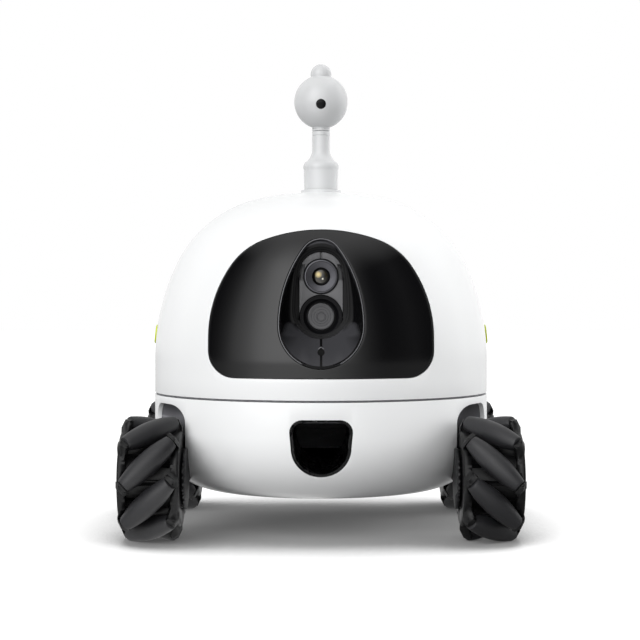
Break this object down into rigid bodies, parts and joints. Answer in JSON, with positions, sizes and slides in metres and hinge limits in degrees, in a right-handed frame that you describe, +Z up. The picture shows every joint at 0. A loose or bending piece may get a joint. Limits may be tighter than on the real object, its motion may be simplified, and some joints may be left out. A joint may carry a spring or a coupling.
{
  "type": "treat tossing pet camera",
  "caption": "Round rolling pet camera on mecanum wheels, with a camera in a dark visor, a treat chute, a rear hopper lid and a ball-topped antenna.",
  "frame": {"origin": "on the ground under the middle of the body", "axes": "+Z up, -Y the way the camera looks, +X the robot's own left, along the wheel axles"},
  "size_m": [0.224, 0.21, 0.2779],
  "materials": {
    "white_shell": "white injection-moulded ABS, gloss",
    "dark_tub": "dark grey moulded ABS, fine matt texture",
    "black_gloss": "black high-gloss moulded plastic",
    "pod_grey": "mid-grey satin moulded plastic",
    "lens_ring": "dark grey lens barrel, satin",
    "lens_glass": "coated lens glass with an amber tint",
    "sensor": "smoked gloss plastic window",
    "pointer_glass": "dark window of the pointer",
    "lime": "lime green moulded plastic",
    "hopper_plastic": "light grey moulded polypropylene",
    "rotor_plastic": "grey moulded plastic",
    "motor_metal": "motor cans, dark painted steel",
    "hinge_steel": "ground steel pin",
    "cell_wrap": "shrink-wrapped cells",
    "board_green": "solder-masked circuit board",
    "hub_black": "black glass-filled nylon, satin, with steel pins",
    "roller_rubber": "black rubber over a moulded core"
  },
  "bodies": {
    "root": {"upper_shell": "white_shell", "lower_shell": "white_shell", "chassis_tub": "dark_tub", "face_visor": "black_gloss", "camera_bezel": "black_gloss", "camera_pod": "pod_grey", "lens_barrel": "lens_ring", "lens_glass": "lens_glass", "sensor_window": "sensor", "antenna_collar": "white_shell", "antenna_stalk": "white_shell", "chute_liner": "black_gloss", "treat_hopper": "hopper_plastic", "lid_hinge_pin": "hinge_steel", "toss_motor": "motor_metal", "drive_motors": "motor_metal", "battery_pack": "cell_wrap", "main_board": "board_green"},
    "wheel_front_left": {"wheel_hub_front_left": "hub_black"},
    "roller_front_left_1_body": {"roller_front_left_1": "roller_rubber"},
    "roller_front_left_2_body": {"roller_front_left_2": "roller_rubber"},
    "roller_front_left_3_body": {"roller_front_left_3": "roller_rubber"},
    "roller_front_left_4_body": {"roller_front_left_4": "roller_rubber"},
    "roller_front_left_5_body": {"roller_front_left_5": "roller_rubber"},
    "roller_front_left_6_body": {"roller_front_left_6": "roller_rubber"},
    "roller_front_left_7_body": {"roller_front_left_7": "roller_rubber"},
    "roller_front_left_8_body": {"roller_front_left_8": "roller_rubber"},
    "wheel_front_right": {"wheel_hub_front_right": "hub_black"},
    "roller_front_right_1_body": {"roller_front_right_1": "roller_rubber"},
    "roller_front_right_2_body": {"roller_front_right_2": "roller_rubber"},
    "roller_front_right_3_body": {"roller_front_right_3": "roller_rubber"},
    "roller_front_right_4_body": {"roller_front_right_4": "roller_rubber"},
    "roller_front_right_5_body": {"roller_front_right_5": "roller_rubber"},
    "roller_front_right_6_body": {"roller_front_right_6": "roller_rubber"},
    "roller_front_right_7_body": {"roller_front_right_7": "roller_rubber"},
    "roller_front_right_8_body": {"roller_front_right_8": "roller_rubber"},
    "wheel_rear_left": {"wheel_hub_rear_left": "hub_black"},
    "roller_rear_left_1_body": {"roller_rear_left_1": "roller_rubber"},
    "roller_rear_left_2_body": {"roller_rear_left_2": "roller_rubber"},
    "roller_rear_left_3_body": {"roller_rear_left_3": "roller_rubber"},
    "roller_rear_left_4_body": {"roller_rear_left_4": "roller_rubber"},
    "roller_rear_left_5_body": {"roller_rear_left_5": "roller_rubber"},
    "roller_rear_left_6_body": {"roller_rear_left_6": "roller_rubber"},
    "roller_rear_left_7_body": {"roller_rear_left_7": "roller_rubber"},
    "roller_rear_left_8_body": {"roller_rear_left_8": "roller_rubber"},
    "wheel_rear_right": {"wheel_hub_rear_right": "hub_black"},
    "roller_rear_right_1_body": {"roller_rear_right_1": "roller_rubber"},
    "roller_rear_right_2_body": {"roller_rear_right_2": "roller_rubber"},
    "roller_rear_right_3_body": {"roller_rear_right_3": "roller_rubber"},
    "roller_rear_right_4_body": {"roller_rear_right_4": "roller_rubber"},
    "roller_rear_right_5_body": {"roller_rear_right_5": "roller_rubber"},
    "roller_rear_right_6_body": {"roller_rear_right_6": "roller_rubber"},
    "roller_rear_right_7_body": {"roller_rear_right_7": "roller_rubber"},
    "roller_rear_right_8_body": {"roller_rear_right_8": "roller_rubber"},
    "rotor": {"toss_rotor": "rotor_plastic"},
    "lid": {"hopper_lid": "white_shell"},
    "head": {"antenna_head": "white_shell", "pointer_lens": "pointer_glass"},
    "button_left": {"side_button_left": "lime"},
    "button_right": {"side_button_right": "lime"}
  },
  "joints": [
    {"name": "wheel_front_left_turn", "type": "hinge", "parent": "root", "child": "wheel_front_left", "pos_m": [0.095, -0.07, 0.035], "axis": [1, 0, 0], "continuous": true},
    {"name": "roller_front_left_1_spin", "type": "hinge", "parent": "wheel_front_left", "child": "roller_front_left_1_body", "pos_m": [0.095, -0.04367, 0.04591], "axis": [0.7071, -0.2706, 0.6533], "continuous": true},
    {"name": "roller_front_left_2_spin", "type": "hinge", "parent": "wheel_front_left", "child": "roller_front_left_2_body", "pos_m": [0.095, -0.05909, 0.06133], "axis": [0.7071, -0.6533, 0.2706], "continuous": true},
    {"name": "roller_front_left_3_spin", "type": "hinge", "parent": "wheel_front_left", "child": "roller_front_left_3_body", "pos_m": [0.095, -0.08091, 0.06133], "axis": [0.7071, -0.6533, -0.2706], "continuous": true},
    {"name": "roller_front_left_4_spin", "type": "hinge", "parent": "wheel_front_left", "child": "roller_front_left_4_body", "pos_m": [0.095, -0.09633, 0.04591], "axis": [0.7071, -0.2706, -0.6533], "continuous": true},
    {"name": "roller_front_left_5_spin", "type": "hinge", "parent": "wheel_front_left", "child": "roller_front_left_5_body", "pos_m": [0.095, -0.09633, 0.02409], "axis": [0.7071, 0.2706, -0.6533], "continuous": true},
    {"name": "roller_front_left_6_spin", "type": "hinge", "parent": "wheel_front_left", "child": "roller_front_left_6_body", "pos_m": [0.095, -0.08091, 0.00867], "axis": [0.7071, 0.6533, -0.2706], "continuous": true},
    {"name": "roller_front_left_7_spin", "type": "hinge", "parent": "wheel_front_left", "child": "roller_front_left_7_body", "pos_m": [0.095, -0.05909, 0.00867], "axis": [0.7071, 0.6533, 0.2706], "continuous": true},
    {"name": "roller_front_left_8_spin", "type": "hinge", "parent": "wheel_front_left", "child": "roller_front_left_8_body", "pos_m": [0.095, -0.04367, 0.02409], "axis": [0.7071, 0.2706, 0.6533], "continuous": true},
    {"name": "wheel_front_right_turn", "type": "hinge", "parent": "root", "child": "wheel_front_right", "pos_m": [-0.095, -0.07, 0.035], "axis": [1, 0, 0], "continuous": true},
    {"name": "roller_front_right_1_spin", "type": "hinge", "parent": "wheel_front_right", "child": "roller_front_right_1_body", "pos_m": [-0.095, -0.09633, 0.04591], "axis": [-0.7071, -0.2706, -0.6533], "continuous": true},
    {"name": "roller_front_right_2_spin", "type": "hinge", "parent": "wheel_front_right", "child": "roller_front_right_2_body", "pos_m": [-0.095, -0.08091, 0.06133], "axis": [-0.7071, -0.6533, -0.2706], "continuous": true},
    {"name": "roller_front_right_3_spin", "type": "hinge", "parent": "wheel_front_right", "child": "roller_front_right_3_body", "pos_m": [-0.095, -0.05909, 0.06133], "axis": [-0.7071, -0.6533, 0.2706], "continuous": true},
    {"name": "roller_front_right_4_spin", "type": "hinge", "parent": "wheel_front_right", "child": "roller_front_right_4_body", "pos_m": [-0.095, -0.04367, 0.04591], "axis": [-0.7071, -0.2706, 0.6533], "continuous": true},
    {"name": "roller_front_right_5_spin", "type": "hinge", "parent": "wheel_front_right", "child": "roller_front_right_5_body", "pos_m": [-0.095, -0.04367, 0.02409], "axis": [-0.7071, 0.2706, 0.6533], "continuous": true},
    {"name": "roller_front_right_6_spin", "type": "hinge", "parent": "wheel_front_right", "child": "roller_front_right_6_body", "pos_m": [-0.095, -0.05909, 0.00867], "axis": [-0.7071, 0.6533, 0.2706], "continuous": true},
    {"name": "roller_front_right_7_spin", "type": "hinge", "parent": "wheel_front_right", "child": "roller_front_right_7_body", "pos_m": [-0.095, -0.08091, 0.00867], "axis": [-0.7071, 0.6533, -0.2706], "continuous": true},
    {"name": "roller_front_right_8_spin", "type": "hinge", "parent": "wheel_front_right", "child": "roller_front_right_8_body", "pos_m": [-0.095, -0.09633, 0.02409], "axis": [-0.7071, 0.2706, -0.6533], "continuous": true},
    {"name": "wheel_rear_left_turn", "type": "hinge", "parent": "root", "child": "wheel_rear_left", "pos_m": [0.095, 0.07, 0.035], "axis": [1, 0, 0], "continuous": true},
    {"name": "roller_rear_left_1_spin", "type": "hinge", "parent": "wheel_rear_left", "child": "roller_rear_left_1_body", "pos_m": [0.095, 0.09633, 0.04591], "axis": [0.7071, 0.2706, -0.6533], "continuous": true},
    {"name": "roller_rear_left_2_spin", "type": "hinge", "parent": "wheel_rear_left", "child": "roller_rear_left_2_body", "pos_m": [0.095, 0.08091, 0.06133], "axis": [0.7071, 0.6533, -0.2706], "continuous": true},
    {"name": "roller_rear_left_3_spin", "type": "hinge", "parent": "wheel_rear_left", "child": "roller_rear_left_3_body", "pos_m": [0.095, 0.05909, 0.06133], "axis": [0.7071, 0.6533, 0.2706], "continuous": true},
    {"name": "roller_rear_left_4_spin", "type": "hinge", "parent": "wheel_rear_left", "child": "roller_rear_left_4_body", "pos_m": [0.095, 0.04367, 0.04591], "axis": [0.7071, 0.2706, 0.6533], "continuous": true},
    {"name": "roller_rear_left_5_spin", "type": "hinge", "parent": "wheel_rear_left", "child": "roller_rear_left_5_body", "pos_m": [0.095, 0.04367, 0.02409], "axis": [0.7071, -0.2706, 0.6533], "continuous": true},
    {"name": "roller_rear_left_6_spin", "type": "hinge", "parent": "wheel_rear_left", "child": "roller_rear_left_6_body", "pos_m": [0.095, 0.05909, 0.00867], "axis": [0.7071, -0.6533, 0.2706], "continuous": true},
    {"name": "roller_rear_left_7_spin", "type": "hinge", "parent": "wheel_rear_left", "child": "roller_rear_left_7_body", "pos_m": [0.095, 0.08091, 0.00867], "axis": [0.7071, -0.6533, -0.2706], "continuous": true},
    {"name": "roller_rear_left_8_spin", "type": "hinge", "parent": "wheel_rear_left", "child": "roller_rear_left_8_body", "pos_m": [0.095, 0.09633, 0.02409], "axis": [0.7071, -0.2706, -0.6533], "continuous": true},
    {"name": "wheel_rear_right_turn", "type": "hinge", "parent": "root", "child": "wheel_rear_right", "pos_m": [-0.095, 0.07, 0.035], "axis": [1, 0, 0], "continuous": true},
    {"name": "roller_rear_right_1_spin", "type": "hinge", "parent": "wheel_rear_right", "child": "roller_rear_right_1_body", "pos_m": [-0.095, 0.04367, 0.04591], "axis": [-0.7071, 0.2706, 0.6533], "continuous": true},
    {"name": "roller_rear_right_2_spin", "type": "hinge", "parent": "wheel_rear_right", "child": "roller_rear_right_2_body", "pos_m": [-0.095, 0.05909, 0.06133], "axis": [-0.7071, 0.6533, 0.2706], "continuous": true},
    {"name": "roller_rear_right_3_spin", "type": "hinge", "parent": "wheel_rear_right", "child": "roller_rear_right_3_body", "pos_m": [-0.095, 0.08091, 0.06133], "axis": [-0.7071, 0.6533, -0.2706], "continuous": true},
    {"name": "roller_rear_right_4_spin", "type": "hinge", "parent": "wheel_rear_right", "child": "roller_rear_right_4_body", "pos_m": [-0.095, 0.09633, 0.04591], "axis": [-0.7071, 0.2706, -0.6533], "continuous": true},
    {"name": "roller_rear_right_5_spin", "type": "hinge", "parent": "wheel_rear_right", "child": "roller_rear_right_5_body", "pos_m": [-0.095, 0.09633, 0.02409], "axis": [-0.7071, -0.2706, -0.6533], "continuous": true},
    {"name": "roller_rear_right_6_spin", "type": "hinge", "parent": "wheel_rear_right", "child": "roller_rear_right_6_body", "pos_m": [-0.095, 0.08091, 0.00867], "axis": [-0.7071, -0.6533, -0.2706], "continuous": true},
    {"name": "roller_rear_right_7_spin", "type": "hinge", "parent": "wheel_rear_right", "child": "roller_rear_right_7_body", "pos_m": [-0.095, 0.05909, 0.00867], "axis": [-0.7071, -0.6533, 0.2706], "continuous": true},
    {"name": "roller_rear_right_8_spin", "type": "hinge", "parent": "wheel_rear_right", "child": "roller_rear_right_8_body", "pos_m": [-0.095, 0.04367, 0.02409], "axis": [-0.7071, -0.2706, 0.6533], "continuous": true},
    {"name": "rotor_spin", "type": "hinge", "parent": "root", "child": "rotor", "pos_m": [0, 0.022, 0.0584], "axis": [1, 0, 0], "continuous": true},
    {"name": "lid_swing", "type": "hinge", "parent": "root", "child": "lid", "pos_m": [0, 0.0988, 0.1175], "axis": [-1, 0, 0], "range_deg": [0, 100]},
    {"name": "head_swivel", "type": "hinge", "parent": "root", "child": "head", "pos_m": [0, 0, 0.2373], "axis": [0, 0, 1], "range_deg": [-90, 90]},
    {"name": "side_button_left_press", "type": "slide", "parent": "root", "child": "button_left", "axis": [-1, 0, 0], "range_m": [0, 0.0012], "stiffness_N_per_m": 400, "springref_m": -0.001},
    {"name": "side_button_right_press", "type": "slide", "parent": "root", "child": "button_right", "axis": [1, 0, 0], "range_m": [0, 0.0012], "stiffness_N_per_m": 400, "springref_m": -0.001}
  ]
}
